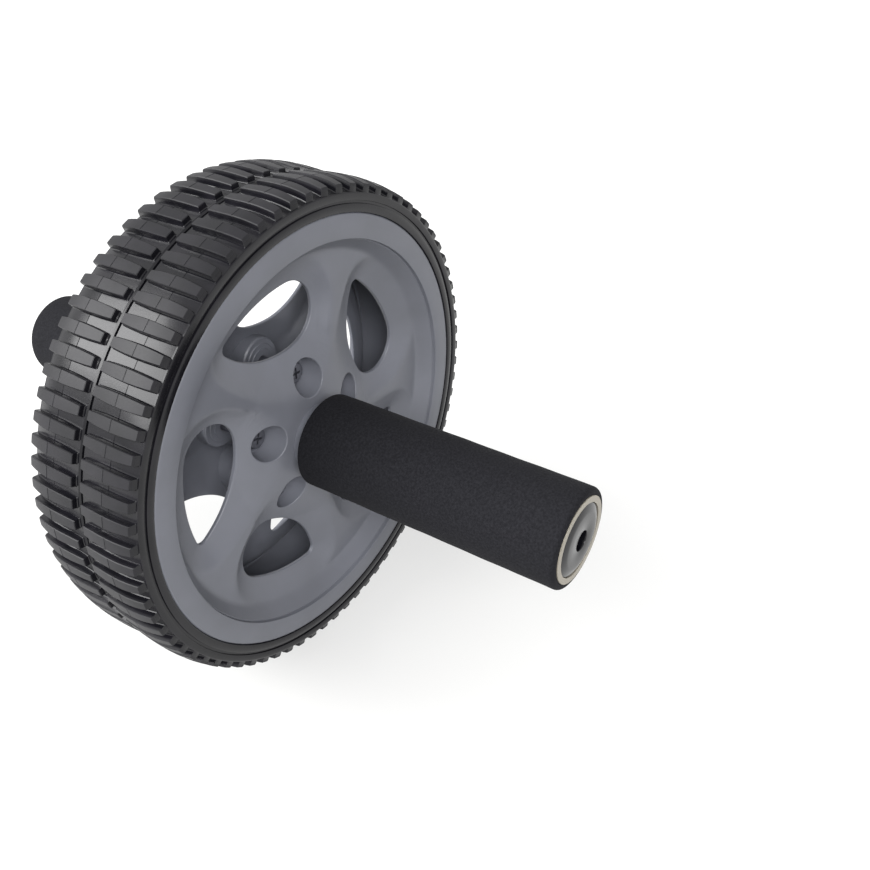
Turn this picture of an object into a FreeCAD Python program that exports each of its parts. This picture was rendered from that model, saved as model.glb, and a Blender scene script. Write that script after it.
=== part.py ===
"""An ab wheel roller: a double wheel that spins on a steel axle between two foam handles.

The axle lies along Y through the origin, which is the centre of the wheel, and +Z is up.
Each piece that comes in pairs is drawn on the +Y side, where "depth" is its distance from
the middle of the wheel, and its twin is the same piece turned half round about Z.
"""
import FreeCAD
import Part
import math
import os
import re

import Sketcher

# Driving sizes in millimetres, angles in degrees, and counts.
SIZES = {
    # Rim of a wheel half: a barrel under the tyre and a flat ring round the face.
    "rim_radius": 80.0,
    "rim_depth": 22.5,
    "rim_edge_round": 0.8,
    "barrel_wall": 4.0,
    "ring_width": 8.5,
    "ring_wall": 3.0,
    "ring_step": 0.7,
    "tyre_groove_depth": 2.0,
    "tyre_groove_start": 9.0,
    "tyre_groove_width": 6.0,
    # Dished web between the rim and the hub, with its windows.
    "dish_width": 4.5,
    "dish_depth": 6.9,
    "dish_wall": 1.8,
    "web_wall": 3.0,
    "window_count": 5,
    "window_angle": 77.5,
    "window_blunt_angle": 10.0,
    "window_tip_angle": 21.3,
    "window_lip": 1.6,
    "window_margin": 6.2,
    "scoop_depth": 4.3,
    "scoop_angle": 55.0,
    # Radii of a window's four arcs, as shares of the radius at which the web begins inside the dish.
    "window_outer_share": 0.8672,
    "window_blunt_share": 0.1716,
    "window_side_share": 0.5269,
    "window_tip_share": 0.0403,
    # Hub of a wheel half.
    "hub_tube_wall": 4.0,
    "hub_collar_wall": 3.5,
    "hub_collar_setback": 1.5,
    "hub_cone_width": 23.5,
    "hub_cone_height": 2.7,
    # Stations where the screws tie the two halves together.
    "screw_count": 5,
    "recess_radius": 6.7,
    "recess_inset": 3.68,
    "recess_sink": 8.2,
    "recess_wall": 2.0,
    "recess_floor": 1.1,
    "boss_radius": 6.6,
    "boss_height": 0.8,
    "screw_hole_radius": 2.2,
    # Screws, washers and nuts of the wheel.
    "screw_radius": 2.0,
    "screw_head_overhang": 2.0,
    "screw_head_height": 2.2,
    "screw_head_round": 0.8,
    "screw_overhang": 1.2,
    "cross_length": 4.4,
    "cross_width": 0.9,
    "cross_depth": 1.3,
    "wheel_washer_margin": 0.6,
    "wheel_washer_thickness": 0.8,
    "wheel_washer_clearance": 0.15,
    "nut_flats": 7.0,
    "nut_height": 3.2,
    "nut_clearance": 0.05,
    # Tyre, and the bars of its tread.
    "tyre_clearance": 0.05,
    "tyre_thickness": 6.4,
    "tyre_inner_depth": 0.8,
    "tyre_overhang": 0.3,
    "tyre_chamfer": 0.5,
    "side_groove_rise": 3.5,
    "side_groove_width": 1.1,
    "side_groove_depth": 0.6,
    "lug_count": 76,
    "lug_root": 0.6,
    "lug_middle_height": 4.3,
    "lug_inner_height": 3.8,
    "lug_outer_height": 3.0,
    "lug_middle_width": 4.0,
    "lug_end_width": 2.8,
    "lug_inner_setback": 1.5,
    "lug_outer_setback": 0.4,
    "lug_inner_ramp": 6.3,
    "lug_outer_ramp": 6.8,
    # Bearing bushes and thrust washers.
    "bush_wall": 1.95,
    "bush_press_clearance": 0.02,
    "bush_inner_depth": 4.0,
    "bush_flange_width": 3.0,
    "bush_flange_thickness": 1.3,
    "thrust_gap": 0.1,
    "thrust_washer_margin": 0.5,
    "thrust_washer_thickness": 0.8,
    # Axle.
    "axle_radius": 7.0,
    "axle_running_clearance": 0.05,
    "axle_shoulder": 1.0,
    "axle_end_chamfer": 0.6,
    "tapped_hole_length": 18.0,
    # Moulded core of a handle.
    "core_radius": 14.8,
    "core_bore_clearance": 0.05,
    "core_wall": 2.15,
    "core_end_depth": 123.5,
    "core_inner_wall": 3.0,
    "core_boss_wall": 2.45,
    "handle_pocket": 23.7,
    "core_seat_gap": 0.2,
    "core_seat_thickness": 3.0,
    "core_screw_clearance": 0.2,
    "core_rib_count": 4,
    "core_rib_width": 2.0,
    "core_rib_bite": 0.3,
    # Foam sleeve of a handle.
    "foam_thickness": 2.45,
    "foam_clearance": 0.05,
    "foam_inner_setback": 0.3,
    "foam_outer_setback": 0.3,
    "foam_round": 1.9,
    # Screw and washer that hold a handle on the axle.
    "handle_screw_radius": 3.0,
    "handle_screw_clearance": 0.05,
    "handle_screw_bite": 12.0,
    "handle_screw_head_overhang": 2.0,
    "handle_screw_head_height": 4.0,
    "handle_screw_head_chamfer": 0.6,
    "key_flats": 4.0,
    "key_depth": 2.4,
    "handle_washer_margin": 2.5,
    "handle_washer_thickness": 1.2,
    # Plug that closes the outer end of a handle.
    "plug_clearance": 0.05,
    "plug_setback": 0.3,
    "plug_bevel_width": 2.8,
    "plug_bevel_height": 0.9,
    "plug_plate": 2.2,
    "plug_skirt_wall": 1.5,
    "plug_length": 11.0,
    "plug_hole_radius": 4.1,
    # Length by which a cut runs past the face that it goes through.
    "overrun": 2.0,
}

# Depths and radii that several pieces share, as formulas of the sizes.
RING_BACK = "(rim_depth - ring_wall)"
RING_INNER = "(rim_radius - ring_width)"
BARREL_INNER = "(rim_radius - barrel_wall)"
GROOVE_END = "(tyre_groove_start + tyre_groove_width)"
DISH_RADIUS = f"({RING_INNER} - dish_width)"
WEB_DEPTH = "(rim_depth - dish_depth)"
WEB_BACK = f"({WEB_DEPTH} - web_wall)"
WINDOW_OUTER = f"({DISH_RADIUS} * window_outer_share)"
WINDOW_BLUNT = f"({DISH_RADIUS} * window_blunt_share)"
WINDOW_SIDE = f"({DISH_RADIUS} * window_side_share)"
WINDOW_TIP = f"({DISH_RADIUS} * window_tip_share)"
WINDOW_EDGE = f"({WEB_DEPTH} - scoop_depth)"
AXLE_BORE = "(axle_radius + axle_running_clearance)"
BUSH_RADIUS = f"({AXLE_BORE} + bush_wall)"
BUSH_BORE = f"({BUSH_RADIUS} + bush_press_clearance)"
BUSH_FLANGE = f"({BUSH_RADIUS} + bush_flange_width)"
HUB_TUBE = f"({BUSH_BORE} + hub_tube_wall)"
HUB_COLLAR = f"({BUSH_BORE} + hub_collar_wall)"
HUB_CONE = f"({HUB_COLLAR} + hub_cone_width)"
HUB_FACE = "(rim_depth - hub_collar_setback)"
BUSH_FACE = f"({HUB_FACE} + bush_flange_thickness)"
SCREW_CIRCLE = f"({HUB_COLLAR} + recess_inset + recess_radius)"
RECESS_DEPTH = f"({WEB_DEPTH} - recess_sink)"
CUP_BACK = f"({RECESS_DEPTH} - recess_floor)"
BOSS_DEPTH = f"({CUP_BACK} - boss_height)"
SCREW_HEAD = "(screw_radius + screw_head_overhang)"
WHEEL_SCREW_SEAT = f"({RECESS_DEPTH} + wheel_washer_thickness)"
WHEEL_SCREW_TOP = f"({WHEEL_SCREW_SEAT} + screw_head_height)"
TYRE_FLOOR = "(rim_radius + tyre_thickness)"
TYRE_OUTER = "(rim_depth + tyre_overhang)"
SIDE_GROOVE = "(rim_radius + side_groove_rise)"
LUG_INNER = "(tyre_inner_depth + lug_inner_setback)"
LUG_OUTER = f"({TYRE_OUTER} - lug_outer_setback)"
SHOULDER = f"({BUSH_FACE} + thrust_gap + thrust_washer_thickness)"
AXLE_END_RADIUS = "(axle_radius - axle_shoulder)"
AXLE_END = "(core_end_depth - handle_pocket)"
CORE_BORE = f"({AXLE_END_RADIUS} + core_bore_clearance)"
CORE_BOSS = f"({CORE_BORE} + core_boss_wall)"
CORE_INNER = "(core_radius - core_wall)"
SEAT_BACK = f"({AXLE_END} + core_seat_gap)"
SEAT_FACE = f"({SEAT_BACK} + core_seat_thickness)"
HANDLE_SCREW_HOLE = "(handle_screw_radius + core_screw_clearance)"
HANDLE_SCREW_HEAD = "(handle_screw_radius + handle_screw_head_overhang)"
HANDLE_SCREW_SEAT = f"({SEAT_FACE} + handle_washer_thickness)"
HANDLE_SCREW_TOP = f"({HANDLE_SCREW_SEAT} + handle_screw_head_height)"
FOAM_BORE = "(core_radius + foam_clearance)"
FOAM_RADIUS = f"({FOAM_BORE} + foam_thickness)"
# How far a rounded corner's middle point stands in from the sharp corner, for a radius of 1.
ROUND_SHARE = "(1 - cos(45))"

document = FreeCAD.newDocument("ab_wheel_roller")
sheet = document.addObject("Spreadsheet::Sheet", "Sizes")
for row, (size_name, size_value) in enumerate(SIZES.items(), start=1):
    sheet.set(f"A{row}", size_name)
    sheet.set(f"B{row}", str(size_value))
    sheet.setAlias(f"B{row}", size_name)
document.recompute()

UNTURNED = FreeCAD.Placement()
HALF_TURN = FreeCAD.Placement(FreeCAD.Vector(), FreeCAD.Rotation(FreeCAD.Vector(0, 0, 1), 180))
SIDES = {"back": UNTURNED, "front": HALF_TURN}
sub_parts = []


def bound(formula):
    """Give a formula its sheet addresses: every size name in it becomes Sizes.name."""
    def address(word):
        return f"Sizes.{word[0]}" if word[0] in SIZES else word[0]
    return re.sub(r"[a-z_]+", address, formula)


def number(formula):
    """Work out a formula of size names."""
    return float(sheet.evalExpression(bound(formula)))


def new_body(label, placement=UNTURNED):
    """Start a sub-part under its own label and in its own place."""
    body = document.addObject("PartDesign::Body", label)
    body.Label = label
    body.Placement = placement
    sub_parts.append(body)
    return body


def origin_feature(body, role):
    """Find one of the body's own planes or axes."""
    return next(item for item in body.Origin.OriginFeatures if item.Role == role)


def new_sketch(body, name, plane, depth="0", turn="0", rise="0"):
    """Start a sketch on one of the body's planes, then put it at a depth, turn it or raise it.

    The normal of the XZ plane is -Y, so a depth is a lift against that normal.
    """
    sketch = body.newObject("Sketcher::SketchObject", name)
    sketch.AttachmentSupport = [(origin_feature(body, plane), "")]
    sketch.MapMode = "FlatFace"
    spin = FreeCAD.Rotation(FreeCAD.Vector(0, 0, 1), number(turn))
    sketch.AttachmentOffset = FreeCAD.Placement(FreeCAD.Vector(), spin)
    sketch.setExpression("AttachmentOffset.Base.y", bound(rise))
    sketch.setExpression("AttachmentOffset.Base.z", bound(f"-({depth})"))
    if turn != "0":
        sketch.setExpression("AttachmentOffset.Rotation.Angle", bound(turn))
    return sketch


def hold(sketch, kind, target, formula):
    """Add a dimension to a sketch and bind it to a formula."""
    start = math.radians(number(formula)) if kind == "Angle" else number(formula)
    index = sketch.addConstraint(Sketcher.Constraint(kind, *target, start))
    name = f"{kind.lower()}_{index}"
    sketch.renameConstraint(index, name)
    sketch.setExpression(f"Constraints.{name}", bound(formula))


def pin_point(sketch, geometry, point, across, up):
    """Hold one point of a sketch at a place given by two formulas."""
    hold(sketch, "DistanceX", (-1, 1, geometry, point), across)
    hold(sketch, "DistanceY", (-1, 1, geometry, point), up)


def outline(sketch, corners):
    """Draw a closed outline through corners, each a pair of formulas.

    A corner with two more formulas ends a round side, an arc through that middle point.
    """
    places = [FreeCAD.Vector(number(corner[0]), number(corner[1]), 0) for corner in corners]
    sides = []
    ends = []
    for index, corner in enumerate(corners):
        start = places[index - 1]
        finish = places[index]
        if len(corner) == 2:
            sides.append(sketch.addGeometry(Part.LineSegment(start, finish), False))
            ends.append((1, 2))
            continue
        middle = FreeCAD.Vector(number(corner[2]), number(corner[3]), 0)
        side = sketch.addGeometry(Part.Arc(start, middle, finish), False)
        mark = sketch.addGeometry(Part.Point(middle), True)
        sketch.addConstraint(Sketcher.Constraint("PointOnObject", mark, 1, side))
        pin_point(sketch, mark, 1, corner[2], corner[3])
        runs_forward = (sketch.getPoint(side, 1) - start).Length < (sketch.getPoint(side, 1) - finish).Length
        sides.append(side)
        ends.append((1, 2) if runs_forward else (2, 1))
    for index, side in enumerate(sides):
        follower = (index + 1) % len(sides)
        last = ends[index][1]
        first = ends[follower][0]
        sketch.addConstraint(Sketcher.Constraint("Coincident", side, last, sides[follower], first))
        pin_point(sketch, side, last, corners[index][0], corners[index][1])


def circle(sketch, radius, across="0", up="0"):
    """Draw a circle with its radius and its centre held by formulas."""
    centre = FreeCAD.Vector(number(across), number(up), 0)
    ring = sketch.addGeometry(Part.Circle(centre, FreeCAD.Vector(0, 0, 1), number(radius)), False)
    hold(sketch, "Radius", (ring,), radius)
    pin_point(sketch, ring, 3, across, up)


def hexagon(sketch, flats, up="0"):
    """Draw a regular hexagon of a given width across its flats, with its centre raised."""
    corners = []
    for step in range(6):
        corner_radius = f"{flats} / (2 * cos(30))"
        corners.append((f"{corner_radius} * cos({60 * step})", f"{up} + {corner_radius} * sin({60 * step})"))
    outline(sketch, corners)


def revolve(body, name, corners):
    """Turn a section of (radius, depth) corners all the way round the axle."""
    sketch = new_sketch(body, f"{name}_section", "XY_Plane")
    outline(sketch, corners)
    solid = body.newObject("PartDesign::Revolution", name)
    solid.Profile = sketch
    solid.ReferenceAxis = (sketch, ["V_Axis"])
    solid.Angle = 360
    return solid


def extrude(body, kind, name, sketch, length, outwards):
    """Pad or pocket an XZ sketch by a length, outwards or towards the middle of the wheel."""
    feature = body.newObject(f"PartDesign::{kind}", name)
    feature.Profile = sketch
    feature.setExpression("Length", bound(length))
    pads = kind == "Pad"
    feature.Reversed = pads == outwards
    return feature


def ring_of(body, name, originals, count):
    """Repeat features evenly round the axle."""
    pattern = body.newObject("PartDesign::PolarPattern", name)
    pattern.Originals = originals
    pattern.Axis = (origin_feature(body, "Y_Axis"), [""])
    pattern.Angle = 360
    pattern.setExpression("Occurrences", bound(count))
    body.Tip = pattern


def window_outline(sketch, grow):
    """Draw a window as four arcs: a narrow tip, the outer arc, a blunt end and the side towards the hub.

    Every arc touches the next one smoothly, and grow moves all of them outwards.
    """
    outer_radius = number(WINDOW_OUTER)
    blunt_radius = number(WINDOW_BLUNT)
    tip_radius = number(WINDOW_TIP)
    side_radius = number(WINDOW_SIDE)
    full_turn = 2 * math.pi
    blunt_turn = math.radians(number("window_blunt_angle"))
    tip_turn = full_turn - math.radians(number("window_tip_angle"))
    blunt = FreeCAD.Vector(math.cos(blunt_turn), math.sin(blunt_turn), 0) * (outer_radius - blunt_radius)
    tip = FreeCAD.Vector(math.cos(tip_turn), math.sin(tip_turn), 0) * (outer_radius - tip_radius)
    heading = tip - blunt
    apart = heading.Length
    heading.normalize()
    along = ((side_radius - blunt_radius) ** 2 - (side_radius - tip_radius) ** 2 + apart ** 2) / (2 * apart)
    across = math.sqrt((side_radius - blunt_radius) ** 2 - along ** 2)
    side = blunt + heading * along + FreeCAD.Vector(-heading.y, heading.x, 0) * across
    blunt_end = math.atan2(blunt.y - side.y, blunt.x - side.x) % full_turn
    tip_start = math.atan2(tip.y - side.y, tip.x - side.x) % full_turn
    extra = number(grow)

    def arc(centre, radius, start, finish):
        ring = Part.Circle(centre, FreeCAD.Vector(0, 0, 1), radius + extra)
        return sketch.addGeometry(Part.ArcOfCircle(ring, start, finish), False)

    tip_arc = arc(tip, tip_radius, tip_start, tip_turn)
    outer_arc = arc(FreeCAD.Vector(), outer_radius, tip_turn, full_turn + blunt_turn)
    blunt_arc = arc(blunt, blunt_radius, blunt_turn, blunt_end)
    side_arc = arc(side, side_radius, blunt_end, tip_start)
    chain = [tip_arc, outer_arc, blunt_arc, side_arc]
    for edge, follower in zip(chain, chain[1:] + chain[:1]):
        sketch.addConstraint(Sketcher.Constraint("Tangent", edge, 2, follower, 1))
    sketch.addConstraint(Sketcher.Constraint("Coincident", outer_arc, 3, -1, 1))
    for edge, radius in zip(chain, [WINDOW_TIP, WINDOW_OUTER, WINDOW_BLUNT, WINDOW_SIDE]):
        hold(sketch, "Radius", (edge,), f"{radius} + {grow}")
    blunt_rise = f"({WINDOW_OUTER} - {WINDOW_BLUNT}) * sin(window_blunt_angle)"
    tip_drop = f"({WINDOW_TIP} - {WINDOW_OUTER}) * sin(window_tip_angle)"
    hold(sketch, "DistanceY", (-1, 1, blunt_arc, 3), blunt_rise)
    hold(sketch, "DistanceY", (-1, 1, tip_arc, 3), tip_drop)


def on_screw_circle(body, kind, name, depth, radius, length, outwards):
    """Pad or pocket a round feature where a screw passes."""
    sketch = new_sketch(body, f"{name}_outline", "XZ_Plane", depth)
    circle(sketch, radius, up=SCREW_CIRCLE)
    return extrude(body, kind, name, sketch, length, outwards)


def add_backings(body):
    """Back the web with a lip for each window, and with a cup and a boss for each screw."""
    lip_back = f"({WINDOW_EDGE} - window_lip)"
    lip_sketch = new_sketch(body, "window_lip_outline", "XZ_Plane", lip_back, "window_angle")
    window_outline(lip_sketch, "window_margin")
    lip = extrude(body, "Pad", "window_lip", lip_sketch, f"{WEB_BACK} - {lip_back} + web_wall / 2", True)
    ring_of(body, "window_lips", [lip], "window_count")
    cup = on_screw_circle(body, "Pad", "recess_cup", CUP_BACK, "recess_radius + recess_wall",
                          f"{WEB_DEPTH} - {CUP_BACK}", True)
    boss = on_screw_circle(body, "Pad", "screw_boss", BOSS_DEPTH, "boss_radius",
                           "boss_height + recess_floor / 2", True)
    ring_of(body, "screw_bosses", [cup, boss], "screw_count")


def add_windows(body):
    """Scoop the web down to each window's edge, and cut the window through."""
    scoop_sketch = new_sketch(body, "scoop_outline", "XZ_Plane", WINDOW_EDGE, "window_angle")
    window_outline(scoop_sketch, "0")
    scoop = extrude(body, "Pocket", "scoop", scoop_sketch, "scoop_depth + overrun", True)
    scoop.setExpression("TaperAngle", bound("scoop_angle"))
    window_sketch = new_sketch(body, "window_edge", "XZ_Plane", WINDOW_EDGE, "window_angle")
    window_outline(window_sketch, "0")
    window = extrude(body, "Pocket", "window", window_sketch, "window_lip + overrun", False)
    ring_of(body, "windows", [scoop, window], "window_count")


def add_recesses(body):
    """Sink a recess for each screw's head or nut into its cup, and bore the boss."""
    recess = on_screw_circle(body, "Pocket", "recess", RECESS_DEPTH, "recess_radius",
                             "recess_sink + hub_cone_height + overrun", True)
    hole = on_screw_circle(body, "Pocket", "screw_hole", RECESS_DEPTH, "screw_hole_radius",
                           "recess_floor + boss_height + overrun", False)
    ring_of(body, "recesses", [recess, hole], "screw_count")


def wheel_half(side):
    """A moulded wheel half: barrel, face ring, dished web, low cone and hub, windowed and bossed."""
    body = new_body(f"wheel_half_{side}", SIDES[side])
    rounding = f"rim_edge_round * {ROUND_SHARE}"
    revolve(body, "wheel_half", [
        (BUSH_BORE, "0"),
        (HUB_TUBE, "0"),
        (HUB_TUBE, f"{WEB_BACK} + hub_cone_height"),
        (HUB_CONE, WEB_BACK),
        (f"{DISH_RADIUS} + dish_wall", WEB_BACK),
        (f"{RING_INNER} + dish_wall", RING_BACK),
        (BARREL_INNER, RING_BACK),
        (BARREL_INNER, "0"),
        ("rim_radius", "0"),
        ("rim_radius", "tyre_groove_start"),
        ("rim_radius - tyre_groove_depth", "tyre_groove_start"),
        ("rim_radius - tyre_groove_depth", GROOVE_END),
        ("rim_radius", GROOVE_END),
        ("rim_radius", "rim_depth - rim_edge_round"),
        ("rim_radius - rim_edge_round", "rim_depth", f"rim_radius - {rounding}", f"rim_depth - {rounding}"),
        (RING_INNER, "rim_depth"),
        (RING_INNER, "rim_depth - ring_step"),
        (DISH_RADIUS, WEB_DEPTH),
        (HUB_CONE, WEB_DEPTH),
        (HUB_COLLAR, f"{WEB_DEPTH} + hub_cone_height"),
        (HUB_COLLAR, HUB_FACE),
        (BUSH_BORE, HUB_FACE),
    ])
    add_backings(body)
    add_windows(body)
    add_recesses(body)


def tyre(side):
    """A rubber tyre, keyed to the rim by an inner rib, with one row of barrel-shaped bars."""
    body = new_body(f"tyre_{side}", SIDES[side])
    seat = "rim_radius + tyre_clearance"
    rib = "rim_radius - tyre_groove_depth + tyre_clearance"
    rib_start = "tyre_groove_start + tyre_clearance"
    rib_end = f"{GROOVE_END} - tyre_clearance"
    groove_floor = f"{TYRE_OUTER} - side_groove_depth"
    revolve(body, "tyre_ring", [
        (seat, "tyre_inner_depth"),
        (seat, rib_start),
        (rib, rib_start),
        (rib, rib_end),
        (seat, rib_end),
        (seat, TYRE_OUTER),
        (f"{SIDE_GROOVE} - side_groove_width / 2", TYRE_OUTER),
        (f"{SIDE_GROOVE} - side_groove_width / 2", groove_floor),
        (f"{SIDE_GROOVE} + side_groove_width / 2", groove_floor),
        (f"{SIDE_GROOVE} + side_groove_width / 2", TYRE_OUTER),
        (f"{TYRE_FLOOR} - tyre_chamfer", TYRE_OUTER),
        (TYRE_FLOOR, f"{TYRE_OUTER} - tyre_chamfer"),
        (TYRE_FLOOR, "tyre_inner_depth + tyre_chamfer"),
        (f"{TYRE_FLOOR} - tyre_chamfer", "tyre_inner_depth"),
    ])
    stations = [
        ("lug_inner_end", LUG_INNER, "lug_end_width", "lug_inner_height"),
        ("lug_land_start", f"{LUG_INNER} + lug_inner_ramp", "lug_middle_width", "lug_middle_height"),
        ("lug_land_end", f"{LUG_OUTER} - lug_outer_ramp", "lug_middle_width", "lug_middle_height"),
        ("lug_outer_end", LUG_OUTER, "lug_end_width", "lug_outer_height"),
    ]
    sections = []
    for name, depth, width, height in stations:
        section = new_sketch(body, name, "XZ_Plane", depth)
        outline(section, [
            (f"-{width} / 2", f"{TYRE_FLOOR} - lug_root"),
            (f"{width} / 2", f"{TYRE_FLOOR} - lug_root"),
            (f"{width} / 2", f"{TYRE_FLOOR} + {height}"),
            (f"-{width} / 2", f"{TYRE_FLOOR} + {height}"),
        ])
        sections.append(section)
    lug = body.newObject("PartDesign::AdditiveLoft", "lug")
    lug.Profile = sections[0]
    lug.Sections = sections[1:]
    lug.Ruled = True
    ring_of(body, "lugs", [lug], "lug_count")


def hub_bush(side):
    """A flanged nylon bush pressed into the hub, in which the axle turns."""
    body = new_body(f"hub_bush_{side}", SIDES[side])
    revolve(body, "bush", [
        (AXLE_BORE, "bush_inner_depth"),
        (BUSH_RADIUS, "bush_inner_depth"),
        (BUSH_RADIUS, HUB_FACE),
        (BUSH_FLANGE, HUB_FACE),
        (BUSH_FLANGE, BUSH_FACE),
        (AXLE_BORE, BUSH_FACE),
    ])


def thrust_washer(side):
    """A washer on the axle that the bush's flange rubs on, backed by the handle."""
    body = new_body(f"thrust_washer_{side}", SIDES[side])
    revolve(body, "washer", [
        (AXLE_BORE, f"{BUSH_FACE} + thrust_gap"),
        (f"{BUSH_FLANGE} + thrust_washer_margin", f"{BUSH_FACE} + thrust_gap"),
        (f"{BUSH_FLANGE} + thrust_washer_margin", SHOULDER),
        (AXLE_BORE, SHOULDER),
    ])


def axle_rod():
    """The turned steel axle: a journal in the wheel, a shoulder and a tapped end on each side."""
    body = new_body("axle_rod")
    hole_bottom = f"{AXLE_END} - tapped_hole_length"
    half = revolve(body, "axle_half", [
        ("0", "0"),
        ("axle_radius", "0"),
        ("axle_radius", SHOULDER),
        (AXLE_END_RADIUS, SHOULDER),
        (AXLE_END_RADIUS, f"{AXLE_END} - axle_end_chamfer"),
        (f"{AXLE_END_RADIUS} - axle_end_chamfer", AXLE_END),
        ("handle_screw_radius", AXLE_END),
        ("handle_screw_radius", hole_bottom),
        ("0", hole_bottom),
    ])
    whole = body.newObject("PartDesign::Mirrored", "axle_whole")
    whole.Originals = [half]
    whole.MirrorPlane = (origin_feature(body, "XZ_Plane"), [""])
    body.Tip = whole


def handle_core(side):
    """A moulded handle core: a tube open at its outer end round a ribbed boss for the axle."""
    body = new_body(f"handle_core_{side}", SIDES[side])
    wall_face = f"({SHOULDER} + core_inner_wall)"
    revolve(body, "core", [
        (CORE_BORE, SHOULDER),
        ("core_radius", SHOULDER),
        ("core_radius", "core_end_depth"),
        (CORE_INNER, "core_end_depth"),
        (CORE_INNER, wall_face),
        (CORE_BOSS, wall_face),
        (CORE_BOSS, SEAT_FACE),
        (HANDLE_SCREW_HOLE, SEAT_FACE),
        (HANDLE_SCREW_HOLE, SEAT_BACK),
        (CORE_BORE, SEAT_BACK),
    ])
    rib_sketch = new_sketch(body, "rib_outline", "XZ_Plane", wall_face)
    outline(rib_sketch, [
        (f"{CORE_BOSS} - core_rib_bite", "-core_rib_width / 2"),
        (f"{CORE_INNER} + core_rib_bite", "-core_rib_width / 2"),
        (f"{CORE_INNER} + core_rib_bite", "core_rib_width / 2"),
        (f"{CORE_BOSS} - core_rib_bite", "core_rib_width / 2"),
    ])
    rib = extrude(body, "Pad", "rib", rib_sketch, f"{AXLE_END} - {wall_face}", True)
    ring_of(body, "ribs", [rib], "core_rib_count")


def foam_grip(side):
    """A foam sleeve pushed over the handle core, rounded at both ends."""
    body = new_body(f"foam_grip_{side}", SIDES[side])
    inner_end = f"({SHOULDER} + foam_inner_setback)"
    outer_end = "(core_end_depth - foam_outer_setback)"
    rounding = f"foam_round * {ROUND_SHARE}"
    revolve(body, "foam", [
        (FOAM_BORE, inner_end),
        (f"{FOAM_RADIUS} - foam_round", inner_end),
        (FOAM_RADIUS, f"{inner_end} + foam_round", f"{FOAM_RADIUS} - {rounding}", f"{inner_end} + {rounding}"),
        (FOAM_RADIUS, f"{outer_end} - foam_round"),
        (f"{FOAM_RADIUS} - foam_round", outer_end, f"{FOAM_RADIUS} - {rounding}", f"{outer_end} - {rounding}"),
        (FOAM_BORE, outer_end),
    ])


def end_plug(side):
    """A bevelled plug pressed into the handle core, with a hole for the key of the screw behind it."""
    body = new_body(f"end_plug_{side}", SIDES[side])
    radius = f"({CORE_INNER} - plug_clearance)"
    edge = "(core_end_depth - plug_setback)"
    face = f"({edge} + plug_bevel_height)"
    revolve(body, "plug", [
        ("plug_hole_radius", face),
        (f"{radius} - plug_bevel_width", face),
        (radius, edge),
        (radius, f"{edge} - plug_length"),
        (f"{radius} - plug_skirt_wall", f"{edge} - plug_length"),
        (f"{radius} - plug_skirt_wall", f"{face} - plug_plate"),
        ("plug_hole_radius", f"{face} - plug_plate"),
    ])


def handle_screw(side):
    """A socket-head screw that pulls the handle core against the axle's shoulder."""
    body = new_body(f"handle_screw_{side}", SIDES[side])
    shank = "handle_screw_radius - handle_screw_clearance"
    revolve(body, "screw", [
        ("0", f"{AXLE_END} - handle_screw_bite"),
        (shank, f"{AXLE_END} - handle_screw_bite"),
        (shank, HANDLE_SCREW_SEAT),
        (HANDLE_SCREW_HEAD, HANDLE_SCREW_SEAT),
        (HANDLE_SCREW_HEAD, f"{HANDLE_SCREW_TOP} - handle_screw_head_chamfer"),
        (f"{HANDLE_SCREW_HEAD} - handle_screw_head_chamfer", HANDLE_SCREW_TOP),
        ("0", HANDLE_SCREW_TOP),
    ])
    key_sketch = new_sketch(body, "key_outline", "XZ_Plane", HANDLE_SCREW_TOP)
    hexagon(key_sketch, "key_flats")
    extrude(body, "Pocket", "key_socket", key_sketch, "key_depth", False)


def handle_washer(side):
    """A flat washer under the handle screw's head."""
    body = new_body(f"handle_washer_{side}", SIDES[side])
    revolve(body, "washer", [
        (HANDLE_SCREW_HOLE, SEAT_FACE),
        (f"{HANDLE_SCREW_HEAD} + handle_washer_margin", SEAT_FACE),
        (f"{HANDLE_SCREW_HEAD} + handle_washer_margin", HANDLE_SCREW_SEAT),
        (HANDLE_SCREW_HOLE, HANDLE_SCREW_SEAT),
    ])


def wheel_screws():
    """The pan-head screws, heads to the front, that clamp the two wheel halves together."""
    body = new_body("wheel_screws", HALF_TURN)
    tail = f"-({WHEEL_SCREW_SEAT} + nut_height + screw_overhang)"
    rounding = f"screw_head_round * {ROUND_SHARE}"
    sketch = new_sketch(body, "screw_section", "YZ_Plane", rise=SCREW_CIRCLE)
    outline(sketch, [
        (tail, "0"),
        (WHEEL_SCREW_TOP, "0"),
        (WHEEL_SCREW_TOP, f"{SCREW_HEAD} - screw_head_round"),
        (f"{WHEEL_SCREW_TOP} - screw_head_round", SCREW_HEAD,
         f"{WHEEL_SCREW_TOP} - {rounding}", f"{SCREW_HEAD} - {rounding}"),
        (WHEEL_SCREW_SEAT, SCREW_HEAD),
        (WHEEL_SCREW_SEAT, "screw_radius"),
        (tail, "screw_radius"),
    ])
    screw = body.newObject("PartDesign::Revolution", "screw")
    screw.Profile = sketch
    screw.ReferenceAxis = (sketch, ["H_Axis"])
    screw.Angle = 360
    cross_sketch = new_sketch(body, "cross_outline", "XZ_Plane", WHEEL_SCREW_TOP)
    long = "cross_length / 2"
    short = "cross_width / 2"
    quarter = [(long, f"-{short}"), (long, short), (short, short), (short, long)]
    half = quarter + [(f"-{up}", across) for across, up in quarter[1:]]
    arms = half + [(f"-({across})", f"-({up})") for across, up in half[1:]]
    outline(cross_sketch, [(across, f"{SCREW_CIRCLE} + ({up})") for across, up in arms[:-1]])
    cross = extrude(body, "Pocket", "cross", cross_sketch, "cross_depth", False)
    ring_of(body, "screws", [screw, cross], "screw_count")


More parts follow.
